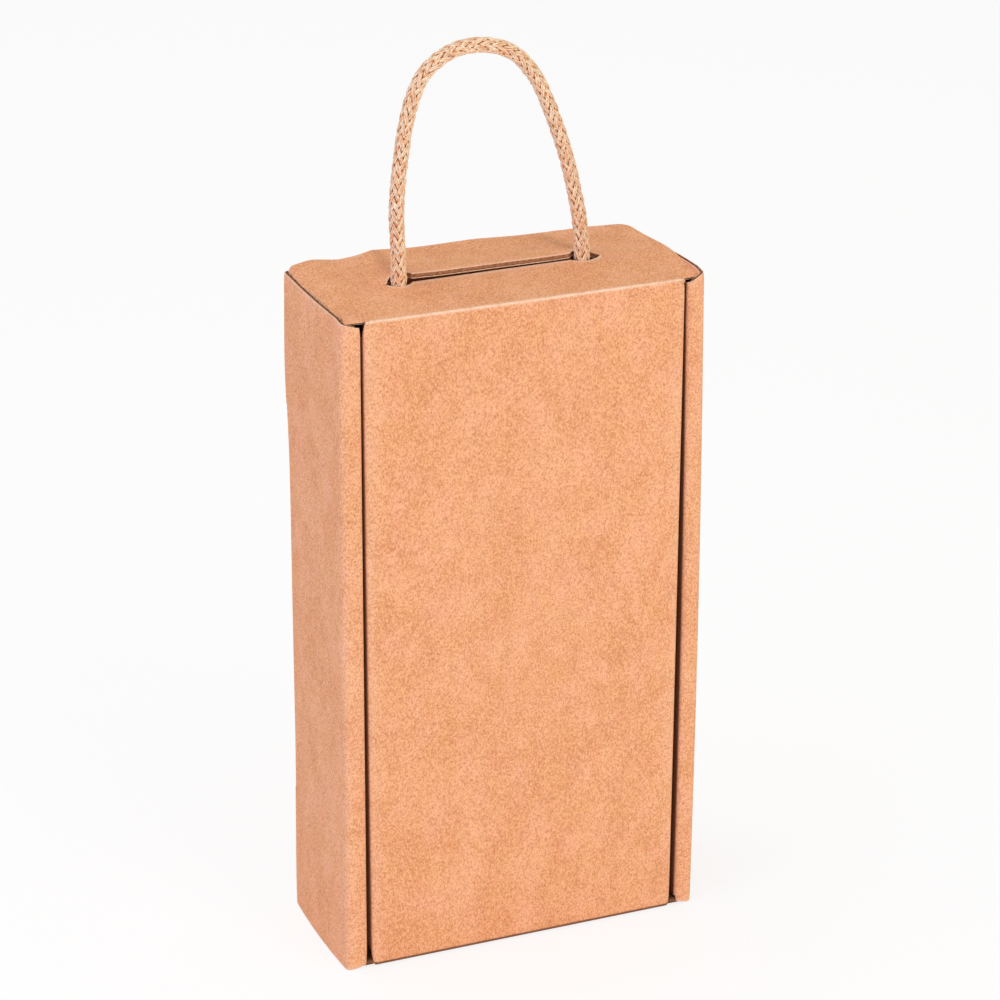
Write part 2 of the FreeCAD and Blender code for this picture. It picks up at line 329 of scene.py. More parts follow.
def mesh_object(name, verts, faces, mats, slots=None, attributes=(), body="carton"):
    """A smooth mesh that rides a body, with its point attributes given as (name, kind, values)."""
    mesh = bpy.data.meshes.new(name)
    mesh.from_pydata([tuple(v) for v in verts], [], [tuple(f) for f in faces])
    for m in mats:
        mesh.materials.append(m)
    if slots is not None:
        mesh.polygons.foreach_set("material_index", np.asarray(slots, np.int32))
    mesh.polygons.foreach_set("use_smooth", np.ones(len(mesh.polygons), bool))
    for key, kind, values in attributes:
        layer = mesh.attributes.new(key, kind, "POINT")
        values = np.asarray(values, np.float32)
        layer.data.foreach_set("vector" if kind == "FLOAT_VECTOR" else "value", values.ravel())
    obj = bpy.data.objects.new(name, mesh)
    bpy.context.collection.objects.link(obj)
    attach(obj, body)
    return obj


STRAND_SHIFT = 37.3  # Moves each tube to another place in the fibre pattern.


def tube_along(paths, radii, sides, lifts):
    """Closed tubes along several lines: points, faces and a (run, angle, lift) mark for each point."""
    verts, faces, mark = [], [], []
    for shift, (path, radius, lift) in enumerate(zip(paths, radii, lifts)):
        ahead, a, b = frames_along(path)
        turn = np.linspace(0, 2 * math.pi, sides, endpoint=False)
        ring = np.cos(turn)[None, :, None] * a[:, None] + np.sin(turn)[None, :, None] * b[:, None]
        points = path[:, None] + ring * radius[:, None, None]
        run = run_along(path) / MM
        base = len(verts)
        verts.extend(points.reshape(-1, 3))
        for i in range(len(path)):
            for k in range(sides):
                mark.append((run[i] + STRAND_SHIFT * shift, turn[k], lift[i]))
        for i in range(len(path) - 1):
            for k in range(sides):
                m = (k + 1) % sides
                low, high = base + i * sides, base + (i + 1) * sides
                faces.append((low + k, low + m, high + m, high + k))
        faces.append(tuple(base + k for k in reversed(range(sides))))
        faces.append(tuple(base + (len(path) - 1) * sides + k for k in range(sides)))
    return verts, faces, mark


def wander(s, gap, rng):
    """A slow random change along a line."""
    at = np.arange(-gap, s[-1] + 2 * gap, gap)
    return np.interp(s, at, rng.normal(size=len(at)))


def braid(line, diameter, each_way=8, pitch=54.0, yarns=3, yarn_r=0.45):
    """Bundles of soft yarns that wind both ways round a line, over two and under two of the others."""
    along, centre = evenly(line, 1.0 * MM)
    ahead, a, b = frames_along(centre)
    s = along / MM
    end = np.minimum(s, s[-1] - s)
    swell = 1 + 0.10 * np.exp(-(((end - 11.0) / 5.0) ** 2))
    rng = np.random.default_rng(5)
    paths, radii, lifts = [], [], []
    crossing = 2 * each_way * s / pitch
    for way in (1, -1):
        for k in range(each_way):
            turn = way * 2 * math.pi * s / pitch + 2 * math.pi * k / each_way
            weave = way * np.cos(math.pi / 2 * (2 * k + way * crossing - 0.5))
            weave = np.tanh(1.8 * weave) / math.tanh(1.8)
            for m in range(yarns):
                off = (m - (yarns - 1) / 2) * 0.84 + 0.10 * wander(s, 7.0, rng)
                r = (diameter / 2 - yarn_r) * swell - 0.30 + 0.38 * weave + 0.09 * wander(s, 5.0, rng)
                at = turn + off / (diameter / 2)
                out = np.cos(at)[:, None] * a + np.sin(at)[:, None] * b
                paths.append(centre + out * r[:, None] * MM)
                radii.append(yarn_r * (1 + 0.15 * wander(s, 3.5, rng)) * MM)
                lifts.append(weave)
    return tube_along(paths, radii, 5, lifts), centre


def fuzz(centre, radius, count):
    """Short loose fibres that stand off a rope, each a thin three-sided spike."""
    rng = np.random.default_rng(11)
    ahead, a, b = frames_along(centre)
    verts, faces, marks = [], [], []
    for _ in range(count):
        i = int(rng.integers(20, len(centre) - 20))
        turn, lean = rng.uniform(0, 2 * math.pi), rng.uniform(-1.2, 1.2)
        out = math.cos(turn) * a[i] + math.sin(turn) * b[i]
        side = np.cross(ahead[i], out)
        start = centre[i] + out * radius * 0.9
        way = out * rng.uniform(0.3, 1.0) + ahead[i] * lean + side * rng.uniform(-0.8, 0.8)
        way /= np.linalg.norm(way)
        reach = rng.uniform(0.6, 2.2) * MM
        middle = start + way * reach * 0.5 + side * rng.uniform(-0.3, 0.3) * MM
        tip = start + way * reach + out * rng.uniform(-0.2, 0.4) * MM
        base = len(verts)
        for p, r in ((start, 0.07), (middle, 0.05)):
            for q in range(3):
                v = math.cos(q * 2.1) * side + math.sin(q * 2.1) * ahead[i]
                verts.append(p + v * r * MM)
        verts.append(tip)
        for q in range(3):
            w = (q + 1) % 3
            faces += [(base + q, base + w, base + 3 + w), (base + q, base + 3 + w, base + 3 + q)]
            faces.append((base + 3 + q, base + 3 + w, base + 6))
        faces.append((base + 2, base + 1, base))
        marks += [(0, 0, 1.0)] * 7
    return verts, faces, marks


def strand_object(name, verts, faces, marks):
    return mesh_object(name, verts, faces, [ROPE_MAT], None, [("strand", "FLOAT_VECTOR", marks)])


rope_parts, ROPE_CENTRE = braid(ROPE_LINE, ROPE)
rope = strand_object("rope_braid", *rope_parts)
hair = strand_object("rope_fuzz", *fuzz(ROPE_CENTRE, ROPE / 2 * MM, 700))
core_line = evenly(ROPE_LINE, 3 * MM)[1]
core_size = np.full(len(core_line), ROPE * 0.36 * MM)
# The core, seen only through gaps in the braid, is painted almost all in the rope's shade colour.
core_shade_lift = np.full(len(core_line), -0.9)
core = strand_object("rope_core", *tube_along([core_line], [core_size], 10, [core_shade_lift]))


KNOT_Z = 366.0
KNOT_TURN = 4.6  # radius of each turn of the rope in a knot
KNOT_ROPE = 3.3  # radius of the rope, pulled thin in the knot


def knot_mesh(name, x):
    """A stopper knot: the rope wound over itself in a ball."""
    turn = np.linspace(0, 2 * math.pi, 160, endpoint=False)
    paths, radii, lifts = [], [], []
    for k, (tilt, spin) in enumerate(((0.35, 0.0), (-0.5, 1.2), (1.25, 2.2))):
        ring = np.stack([np.cos(turn), np.sin(turn), 0.22 * np.sin(2 * turn + k)], axis=1) * KNOT_TURN
        rot = Matrix.Rotation(spin, 3, "Z") @ Matrix.Rotation(tilt, 3, "X")
        ring = ring @ np.array(rot).T
        ring[:, 2] *= 0.92
        line = (ring + np.array([x, ROPE_Y, KNOT_Z])) * MM
        line = np.vstack([line, line[:1]])
        paths.append(line)
        radii.append(np.full(len(line), KNOT_ROPE * MM))
        lifts.append(np.full(len(line), 0.2))
    return strand_object(name, *tube_along(paths, radii, 12, lifts))


knots = [knot_mesh("knot_wound_left", LEG[0]), knot_mesh("knot_wound_right", LEG[1])]
rope_nodes = ("rope_handle", "rope_handle", "rope_handle", "knot_left", "knot_right")
for piece, node in zip((rope, core, hair, *knots), rope_nodes):
    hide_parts(node)


class Track:
    """The middle line of a folded sheet, seen along its folds, with the outward side at each point."""

    def __init__(self, points, bend, outward, step=6.0):
        at, side = [], []
        points = [np.array(p, float) for p in points]
        last = points[0]
        for i in range(1, len(points)):
            d = points[i] - points[i - 1]
            d = d / np.linalg.norm(d)
            end = points[i]
            arc = []
            if i < len(points) - 1:
                e = points[i + 1] - points[i]
                e = e / np.linalg.norm(e)
                end = points[i] - d * bend
                turn = math.copysign(1, d[0] * e[1] - d[1] * e[0])
                centre = end + turn * bend * np.array([-d[1], d[0]])
                for k in range(1, 9):
                    q = k / 8 * math.pi / 2
                    c, s = math.cos(turn * q), math.sin(turn * q)
                    rot = np.array([[c, -s], [s, c]])
                    arc.append((centre + rot @ (end - centre), rot @ d))
            count = max(1, int(round(np.linalg.norm(end - last) / step)))
            for k in range(count + 1):
                if k == 0 and at:
                    continue
                at.append(last + (end - last) * k / count)
                side.append(d)
            for p, h in arc:
                at.append(p)
                side.append(h)
            last = at[-1]
        self.at = np.array(at)
        heading = np.array(side)
        self.out = outward * np.stack([-heading[:, 1], heading[:, 0]], axis=1)
        self.u = run_along(self.at)

    def find(self, u):
        """The place and the outward side at each distance along the line."""
        p = np.stack([np.interp(u, self.u, self.at[:, k]) for k in (0, 1)], axis=1)
        n = np.stack([np.interp(u, self.u, self.out[:, k]) for k in (0, 1)], axis=1)
        return p, n / np.linalg.norm(n, axis=1)[:, None]


class Board:
    """Collects the three papers of a corrugated sheet as one mesh."""

    def __init__(self, place, wear=None, thick=T):
        self.place, self.wear, self.thick = place, wear, thick
        self.verts, self.faces, self.slots, self.marks, self.wear_and_light_amount = [], [], [], [], []

    def paper(self, u, rows, w_a, w_b, mats, split=None, holes=()):
        """One paper: u across the flutes, a row of v values for each u, outer and inner height.

        split is the row after which the sheet is slit wherever the two rows are apart.
        holes are (u0, u1, v0, v1) openings whose edges lie on the columns and rows.
        mats are the slots of the outer face, the inner face and the rims.
        """
        nu, nr = rows.shape
        grid_u = np.repeat(u[:, None], nr, axis=1)
        base = sum(len(v) for v in self.verts)
        part = np.zeros((nu, nr), int)
        if split is not None:
            part[:, split + 1 :] = 1
        for w in (w_a, w_b):
            height = np.broadcast_to(np.reshape(w, (-1, 1)), (nu, nr))
            p = self.place(grid_u, rows, height, part)
            self.verts.append(p.reshape(-1, 3) * MM)
            self.marks.append(np.stack([grid_u, rows, height], axis=-1).reshape(-1, 3))
            wear_and_light_amount = np.zeros((nu, nr)) if self.wear is None else self.wear(grid_u, rows, height)
            self.wear_and_light_amount.append(wear_and_light_amount.ravel())
        index = np.arange(nu * nr).reshape(nu, nr)
        top, low = base + index, base + nu * nr + index
        outer = self.verts[-2].reshape(nu, nr, 3)
        under = self.verts[-1].reshape(nu, nr, 3)
        i, j = nu // 2, min(nr // 2, nr - 2)
        if split is not None and j == split:
            j = max(0, split - 1)
        face_n = np.cross(outer[i, j] - outer[i - 1, j], outer[i, j + 1] - outer[i, j])
        flip = np.dot(face_n, outer[i, j] - under[i, j]) < 0
        keep = np.ones((nu - 1, nr - 1), bool)
        if split is not None:
            keep[:, split] = False
        mid_u = (grid_u[:-1, :-1] + grid_u[1:, 1:]) / 2
        mid_v = (rows[:-1, :-1] + rows[1:, 1:]) / 2
        for u0, u1, v0, v1 in holes:
            keep &= ~((mid_u > u0) & (mid_u < u1) & (mid_v > v0) & (mid_v < v1))

        def quads(p, q, r, s, slot, turn):
            f = np.stack([p, q, r, s], axis=-1).reshape(-1, 4)
            if turn:
                f = f[:, ::-1]
            self.faces.append(f)
            self.slots.append(np.full(len(f), slot))

        for face, slot, turn in ((top, mats[0], flip), (low, mats[1], not flip)):
            corners = (face[:-1, :-1], face[1:, :-1], face[1:, 1:], face[:-1, 1:])
            quads(*(corner[keep] for corner in corners), slot, turn)
        solid = keep.copy()
        if split is not None:
            apart = rows[:, split + 1] - rows[:, split] > 1e-4
            solid[:, split] = ~(apart[:-1] | apart[1:])
        # A rim wherever paper ends at a row or at a column.
        pad = np.pad(solid, ((0, 0), (1, 1)))
        for gone, kept, turn in ((pad[:, :-1], pad[:, 1:], not flip), (pad[:, 1:], pad[:, :-1], flip)):
            i, j = np.nonzero(~gone & kept)
            quads(top[i, j], top[i + 1, j], low[i + 1, j], low[i, j], mats[2], turn)
        pad = np.pad(solid, ((1, 1), (0, 0)))
        for gone, kept, turn in ((pad[:-1], pad[1:], flip), (pad[1:], pad[:-1], not flip)):
            i, j = np.nonzero(~gone & kept)
            if split is not None:
                i, j = i[j != split], j[j != split]
            quads(top[i, j], top[i, j + 1], low[i, j + 1], low[i, j], mats[2], turn)

    def sheet(self, u, rows_of, split=None, holes=(), outer_holes=None, thin=None):
        """Both liners over the columns u, with the fluted paper between them.

        outer_holes are the outer liner's openings where they differ, and thin gives the fluted
        paper's rows where fewer do.
        """
        rows = rows_of(u)
        half = self.thick / 2
        outer_holes = holes if outer_holes is None else outer_holes
        self.paper(u, rows, half, half - LINER, (0, 2, 3), split, outer_holes)
        self.paper(u, rows, LINER - half, -half, (2, 1, 3), split, holes)
        # Crushed fluting closes the cut ends a little way in.
        plug = half - LINER - 0.02
        inset = 0.9
        ends = [(0, inset), (-1, -inset)]
        if split is not None:
            ends += [(split, -inset), (split + 1, inset)]
        for row, way in ends:
            v = rows[:, row]
            part = 1 if split is not None and row in (split + 1, -1) else 0
            both = np.sort(np.stack([v + way, v + way * 1.3], axis=1), axis=1)
            self.paper_part(u, both, plug, -plug, part)
        fine = np.arange(u[0] + 0.05, u[-1] - 0.05, PITCH / 10)
        edges = [edge for hole in holes for edge in hole[:2]]
        fine = np.unique(np.concatenate([fine, edges]))
        rows = (thin or rows_of)(fine)
        wave = (half - LINER - 0.06) * np.sin(2 * math.pi * fine / PITCH)
        over, under = wave + 0.12, wave - 0.12
        if split is None:
            self.paper(fine, rows, over, under, (2, 2, 2), None, holes)
        else:
            back_off = 0.15
            front, rear = rows[:, : split + 1].copy(), rows[:, split + 1 :].copy()
            front[:, -1] -= back_off
            rear[:, 0] += back_off
            self.paper_part(fine, front, over, under, 0)
            self.paper_part(fine, rear, over, under, 1)

    def paper_part(self, u, rows, w_a, w_b, side):
        """One paper of the front (0) or rear (1) part of a slit sheet."""
        place = self.place
        self.place = lambda a, b, c, part: place(a, b, c, part * 0 + side)
        self.paper(u, rows, w_a, w_b, (2, 2, 2))
        self.place = place

    def build(self, name, body, mats=None):
        marks = ("flute", "FLOAT_VECTOR", np.vstack(self.marks))
        wear_and_light_amount = ("wear", "FLOAT", np.concatenate(self.wear_and_light_amount))
        faces = np.vstack(self.faces).tolist()
        slots = np.concatenate(self.slots)
        obj = mesh_object(name, np.vstack(self.verts), faces, mats or BOARD_SLOTS, slots, (marks, wear_and_light_amount), body)
        bm = bmesh.new()
        bm.from_mesh(obj.data)
        bmesh.ops.remove_doubles(bm, verts=bm.verts, dist=1e-6)
        bmesh.ops.dissolve_degenerate(bm, dist=1e-7, edges=bm.edges)
        bm.to_mesh(obj.data)
        bm.free()
        obj.data.set_sharp_from_angle(angle=math.radians(38))
        return obj


def smooth(x, low, high):
    """A soft step from 0 to 1 between two values."""
    t = np.clip((x - low) / (high - low), 0, 1)
    return t * t * (3 - 2 * t)


def nose(distance, radius=T / 2):
    """How thick a sheet is near a rounded end, as a share, at this distance from the end."""
    blunt = 2.8
    d = np.clip(distance / radius, 0, 1)
    return np.clip(1 - (1 - d) ** blunt, 0, 1) ** (1 / blunt)


def pinch(distance):
    """A die-cut edge is pressed a little thinner."""
    return 1 - 0.22 * np.exp(-np.clip(distance, 0, None) / 1.3)


def left_bow(y):
    """How far the left side wall's top stands out at each depth."""
    return np.interp(y, [-42, -34, -26, -5, 16, 42], [-0.6, -0.5, 0.0, 1.2, 1.7, 1.6])


def bow(p):
    """The carton's small bends: side walls that stand out, and a right rear top corner pressed in."""
    x, y, z = p[..., 0], p[..., 1], p[..., 2]
    depth = np.clip(1 - (y / HD) ** 2, 0, 1)
    left = smooth(-x, OUT_X - 2.4, OUT_X - 1.2)
    top = np.exp(-((H - z) / 75.0) ** 2)
    middle = np.sin(np.clip(z / H, 0, 1) * math.pi)
    out = p.copy()
    low = np.exp(-((z / 70.0) ** 2))
    shoulder = np.exp(-(((z - 325) / 35.0) ** 2))
    out[..., 0] -= left * (left_bow(y) * top + 1.1 * depth * middle + 0.9 * middle)
    out[..., 0] -= left * ((1.5 + 1.5 * depth) * low + 1.0 * shoulder)
    inner = smooth(-y, 28, 38) * (0.6 + 0.7 * z / H)
    out[..., 0] += inner * (smooth(-x, IN_X - 6, IN_X) - smooth(-x, OUT_X - 5, OUT_X - 1))
    right = smooth(x, 82, 91)
    out[..., 0] += right * (1.9 - 0.3 * z / H + 1.2 * middle)
    out[..., 0] += smooth(x, OUT_X - 2.4, OUT_X - 1.2) * 0.7 * middle * depth
    high = np.exp(-((H - z) / 60.0) ** 2)
    pressed = smooth(x, 60, 97) * smooth(y, -22, 36) * high
    out[..., 0] -= 6.0 * pressed + 1.6 * smooth(x, 60, 97) * smooth(y, -40, -12) * high
    out[..., 2] -= 2.5 * pressed * smooth(z, H - 40, H)
    return out


def rows_between(low, high, count, ease=()):
    """Rows of v between two ends, with extra ones at the shares in ease from both."""
    share = np.linspace(0, 1, count)
    if ease:
        share = np.unique(np.concatenate([share, ease, 1 - np.array(ease)]))
    return low[:, None] + (high - low)[:, None] * share[None, :]


def columns(track, extra=()):
    """A track's own points and some more, in order."""
    return np.unique(np.concatenate([track.u, extra]))


# The wrap: inner wall, front strip, side wall, back, side wall, front strip, inner wall.
half_plan = [(OUT_X, BACK_Y), (OUT_X, FRONT_Y), (IN_X, FRONT_Y), (IN_X, BACK_Y - T / 2 - 0.3)]
wrap_track = Track([(-x, y) for x, y in reversed(half_plan)] + half_plan, BEND, 1)


def wrap_ends(u):
    """Where the wrap starts and stops along the flutes, for each place across them."""
    p, _ = wrap_track.find(u)
    x, y = np.abs(p[:, 0]), p[:, 1]
    strip = y < FRONT_Y + 3
    low = np.where(strip, np.clip((99.5 - x) / 6.5, 0, 1) * 1.5, 0.0)
    bevel = np.where(p[:, 0] > 0, 6.6, 4.6)
    high = H - np.where(strip, np.clip((HW - x) / (HW - IN_X + T / 2), 0, 1) * bevel, 0.0)
    inner = (x < IN_X + 1) & (y > FRONT_Y + 0.6) & (y < BACK_Y - 1)
    low = np.where(inner, np.clip(5.0 - (y - FRONT_Y) * 0.3, 3.8, 5.0), low)
    high = np.where(inner, np.clip(H - 5.0 - (y - FRONT_Y) * 0.6, H - 7.1, H - 5.0), high)
    back = (x < OUT_X - T / 2 - 0.25) & (y > BACK_Y - 0.1)
    low = np.where(back, BACK_LOW, low)
    high = np.where(back, BACK_HIGH, high)
    return low, high


def wrap_place(u, v, w, part):
    p, n = wrap_track.find(u[:, 0])
    low, high = wrap_ends(u[:, 0])
    edge = np.minimum(v - low[:, None], high[:, None] - v)
    back = (low > BACK_LOW - 0.1) & (p[:, 1] > BACK_Y - 0.1)
    w = w * np.where(back[:, None], 1.0, pinch(edge))
    xy = p[:, None] + n[:, None] * w[..., None]
    return bow(np.concatenate([xy, v[..., None]], axis=-1))


def wrap_wear(u, v, w):
    """Paler at the long folds and at the cut ends, with painted shade on the inner fold and the inner wall
    behind it, in the gap beside the lid's ears.
    """
    p, _ = wrap_track.find(u[:, 0])
    x, y = np.abs(p[:, 0]), p[:, 1]
    fold = np.exp(-((x - OUT_X) ** 2 + (y - FRONT_Y) ** 2) / 5.0)
    fold = np.maximum(fold, 0.7 * np.exp(-((x - IN_X) ** 2 + (y - FRONT_Y) ** 2) / 3.0))
    low, high = wrap_ends(u[:, 0])
    edge = np.minimum(v - low[:, None], high[:, None] - v)
    wear_and_light_amount = 0.14 * fold[:, None] + 0.5 * np.exp(-np.clip(edge, 0, None) / 1.2)
    # Painted shade in the narrow gap between the front strip and the lid's ear.
    shade = smooth(y, FRONT_Y + 0.9, FRONT_Y + 2.0) * smooth(-y, -FRONT_Y - 14, -FRONT_Y - 5) * (x < IN_X + 1)
    return np.clip(wear_and_light_amount - 1.6 * shade[:, None] * (w > 0), -0.8, 1)


WRAP_NEAR = np.array([0, 0.25, 0.6, 1.1, 2.0, 4.0])


def wrap_rows(u, middle=np.linspace(14, H - 14, 26)):
    low, high = wrap_ends(u)
    middle = np.unique(np.concatenate([middle, SLOT_Z]))
    return np.array([np.concatenate([a + WRAP_NEAR, middle, b - WRAP_NEAR[::-1]]) for a, b in zip(low, high)])


slot_x = IN_X - T / 2 - 0.3
WRAP_MIDDLE = wrap_track.u[-1] / 2
SLOT_U = (slot_x, OUT_X - T / 2 - 0.1, OUT_X + 1.5)
wrap_holes, recess, slot_edges = [], [], []
for side in (-1, 1):
    a, b, c = (WRAP_MIDDLE + side * x for x in SLOT_U)
    slot_edges += [a, b, c]
    wrap_holes.append((min(a, b), max(a, b), *SLOT_Z))
    recess.append((min(a, c), max(a, c), *SLOT_Z))
wrap = Board(wrap_place, wrap_wear)
wrap.sheet(
    columns(wrap_track, slot_edges), wrap_rows, None, wrap_holes, recess,
    lambda u: wrap_rows(u, np.linspace(14, H - 14, 5)),
)
wrap_obj = wrap.build("tray_wrap", "carton")


EAR_REACH = 68.0 + T / 2
EAR_TAPER = 14.0
FRONT_NOTCH = 9.0  # cut from the top wall at each front corner
WALL_NEAR = np.array([0.15, 0.4, 0.8, 1.5, 3.0])
WALL_STEPS = 6
WALL_SPLIT = len(WALL_NEAR) + WALL_STEPS


def end_wall(name, level, up):
    """The bottom or top wall, which folds from the back and has an ear down each side."""
    tip = level + up * EAR_REACH
    track = Track([(-EAR_X, tip), (-EAR_X, level), (EAR_X, level), (EAR_X, tip)], BEND, -up)
    front = -HD + T / 2 if up > 0 else -HD + T + 0.3
    turn_at = BACK_Y - BEND
    after = math.pi / 2 * BEND
    tail = abs((BACK_LOW if up > 0 else BACK_HIGH) - level) - BEND

    def ends(u):
        p, _ = track.find(u)
        x, z = np.abs(p[:, 0]), p[:, 1]
        reach = np.abs(z - level)
        taper = np.clip((reach - 2 * T) / (EAR_REACH - 2 * T), 0, 1) * EAR_TAPER
        is_wall = x < EAR_X - BEND - 0.01
        cut = 0.0 if up > 0 else FRONT_NOTCH
        notch = cut * smooth(x, EAR_X - 12.0, EAR_X - 8.0)
        low = np.where(is_wall, front + notch, -HD + T + 0.3 + taper + cut)
        high = np.where(is_wall, turn_at + after + tail, BACK_Y - T / 2 - 0.3 - BEND - taper)
        return low, high

    def place(u, v, w, part):
        p, n = track.find(u[:, 0])
        low, _ = ends(u[:, 0])
        distance = v - low[:, None]
        rounded = (up > 0) & (np.abs(p[:, 0]) < EAR_X - BEND - 0.01)[:, None]
        w = w * np.where(rounded, nose(distance, T / 2 * 0.98), pinch(distance))
        base = p[:, None] + n[:, None] * w[..., None]
        x, z, y = base[..., 0], base[..., 1], v.copy()
        q = np.clip((v - turn_at) / BEND, 0, math.pi / 2)
        past = np.clip(v - turn_at - after, 0, None)
        bent = v > turn_at
        flat = np.abs(n[:, 1])[:, None] > 0.999
        ny = np.sin(q)
        nz = -up * np.cos(q)
        yc = turn_at + BEND * np.sin(q)
        zc = level + up * (BEND * (1 - np.cos(q)) + past)
        y = np.where(bent & flat, yc + ny * w, y)
        z = np.where(bent & flat, zc + nz * w, z)
        return bow(np.stack([np.broadcast_to(x, v.shape), y, z], axis=-1))

    def wear(u, v, w):
        low, _ = ends(u[:, 0])
        fold = 0.5 * np.exp(-(((v - turn_at - after / 2) / 3.0) ** 2))
        p, _ = track.find(u[:, 0])
        # Painted shade at the wall's front corners, seen in the gap between the front strip and the lid.
        corner = smooth(np.abs(p[:, 0]), LID_X - 4, LID_X)[:, None] * smooth(-v, -front - 12, -front - 5)
        return np.clip(fold + 0.4 * np.exp(-np.clip(v - low[:, None], 0, None) / 1.2) - 1.4 * corner, -0.9, 1)

    def rows(u):
        low, high = ends(u)
        fold = turn_at + np.linspace(0, after, 8)
        out = []
        for at, a, b in zip(u, low, high):
            gap = 0.0
            if up < 0 and b > turn_at:
                x = track.find(np.array([at]))[0][0, 0]
                for leg in LEG:
                    gap = max(gap, math.sqrt(max(ROPE_HOLE**2 - (x - leg) ** 2, 0)))
            first = np.linspace(a + 5, ROPE_Y - gap, WALL_STEPS)
            second = np.linspace(ROPE_Y + gap, min(b, turn_at) - 3, 7)
            if b > turn_at:
                last = np.concatenate([fold, [b]])
            else:
                last = b - 2.4 + 2.4 * np.linspace(0, 1, 9)
            out.append(np.concatenate([[a], a + WALL_NEAR, first, second, last]))
        return np.array(out)

    board = Board(place, wear)
    edges = []
    middle = track.u[-1] / 2
    for side in (-1, 1):
        edges += [middle + side * (EAR_X - BEND), middle + side * (EAR_X - BEND - 0.05)]
    if up < 0:
        for leg in LEG:
            edges += list(middle + leg + ROPE_HOLE * np.cos(np.linspace(0, math.pi, 25)))
    board.sheet(columns(track, edges), rows, WALL_SPLIT)
    return board.build(name, "carton")


bottom_obj = end_wall("tray_bottom", T / 2, 1)
top_obj = end_wall("tray_top", TOP_Z, -1)


def tab(name, side):
    """The inner wall's tab, seen from behind in its slot."""
    def place(u, v, w, part):
        y = u + BACK_Y - T / 2 - 2.0
        edge = np.minimum(v - SLOT_Z[0] - 1, SLOT_Z[1] - 1 - v)
        return bow(np.stack([side * IN_X + w * pinch(edge), y, v], axis=-1))

    def rows(u):
        return rows_between(u * 0 + SLOT_Z[0] + 1, u * 0 + SLOT_Z[1] - 1, 12)

    board = Board(place)
    board.sheet(np.array([0, 1.5, 3.0, 4.6]), rows)
    return board.build(name, "carton")


tab_objs = [tab("tray_tab_left", -1), tab("tray_tab_right", 1)]
for piece in (wrap_obj, bottom_obj, top_obj, *tab_objs):
    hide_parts("tray")

EAR_END = -HD + 38.0  # how deep the lid's ears reach
LID_SHIFT = 0.8  # of the lid's top end to the right
LID_NEAR = np.array([0, 0.01, 0.03, 0.08, 0.16, 0.3, 0.5, 0.8, 1.15, 1.5, 2.2, 3.5])
lid_track = Track([(-LID_X, EAR_END), (-LID_X, FRONT_Y), (LID_X, FRONT_Y), (LID_X, EAR_END)], BEND, -1)


def lid_ends(u):
    p, _ = lid_track.find(u)
    x, y = np.abs(p[:, 0]), p[:, 1]
    ear = np.clip((y - FRONT_Y - 1.2) / (EAR_END - FRONT_Y - 1.2), 0, 1)
    step = smooth(y, FRONT_Y + 0.05, FRONT_Y + 1.9)
    low = step * (9.0 + 10.0 * ear)
    return low, H - low


def fold_drop(x):
    """The lid's top fold sags a little towards the right."""
    return 1.7 + 0.9 * np.clip(x / LID_X, -1, 1)


def lid_place(u, v, w, part):
    p, n = lid_track.find(u[:, 0])
    low, high = lid_ends(u[:, 0])
    front = (p[:, 1] < FRONT_Y + 0.05)[:, None]
    edge = np.minimum(v - low[:, None], high[:, None] - v)
    w = w * np.where(front, nose(edge), pinch(edge))
    xy = p[:, None] + n[:, None] * w[..., None]
    out = np.concatenate([xy, v[..., None]], axis=-1)
    swell = np.sin(np.clip(v / H, 0, 1) * math.pi) * np.clip(1 - (xy[..., 0] / LID_X) ** 2, 0, 1)
    out[..., 1] -= 0.5 * swell
    out[..., 2] -= fold_drop(xy[..., 0]) * smooth(v, 40, H)
    wide = 1.2 * smooth(out[..., 0], 20, 88)
    out[..., 0] *= 1 + 0.015 * np.clip(v / H, 0, 1) ** 0.7
    out[..., 0] += 0.4 + 0.4 * v / H + wide
    return out


def lid_wear(u, v, w):
    p, _ = lid_track.find(u[:, 0])
    fold = np.exp(-(((np.abs(p[:, 0]) - LID_X) ** 2 + (p[:, 1] - FRONT_Y) ** 2) / 4.0))
    # A pale line along the top fold: partly a worn crease, partly a painted highlight.
    top = np.exp(-(((H - 0.5 - v) / 0.62) ** 2)) * (w > 0)
    # Painted shade: a dark line on the underside of the bottom fold, which faces the floor.
    under = smooth(-v, -2.3, -1.6) * (w > 0)
    # Painted shade on the ear's fold, deep in the gap beside the strip.
    shade = smooth(p[:, 1], FRONT_Y + 0.5, FRONT_Y + 1.5) * smooth(-p[:, 1], -FRONT_Y - 8, -FRONT_Y - 3)
    return np.clip(0.25 * fold[:, None] + 1.4 * top - 1.2 * under - 1.5 * shade[:, None] * (w > 0), -0.85, 1)


def lid_rows(u):
    low, high = lid_ends(u)
    mid = np.linspace(0, 1, 26)[1:-1]
    out = []
    for a, b in zip(low, high):
        out.append(np.concatenate([a + LID_NEAR, a + 5 + (b - a - 10) * mid, b - LID_NEAR[::-1]]))
    return np.array(out)


lid = Board(lid_place, lid_wear)
lid.sheet(columns(lid_track), lid_rows)
lid_obj = lid.build("lid_panel", "lid")
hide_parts("lid")

FLAP_X = OUT_X - T / 2 - 0.6
FLAP_L = (HD - FRONT_Y) / math.cos(TILT) - 0.2
SLIT_V = (ROPE_Y - FRONT_Y) / math.cos(TILT)
FLAP_CORNERS = (4.2, 8.0)  # radius of the left and the right rear corner
EYES = ((-61.5, -47.2), (42.2, 60.0))  # where the slit opens round each leg of the rope
EYE_HALF = 5.2
FLAP_NEAR = np.array([0, 0.01, 0.03, 0.08, 0.16, 0.3, 0.5, 0.8, 1.15, 1.5, 2.5])
FLAP_STEPS = 9
FLAP_SPLIT = len(FLAP_NEAR) + FLAP_STEPS - 1
REAR_SHARES = np.array([0, 0.015, 0.04, 0.08, 0.15, 0.25, 0.4, 0.55, 0.7, 0.82, 0.9, 0.96, 0.985, 1.0])


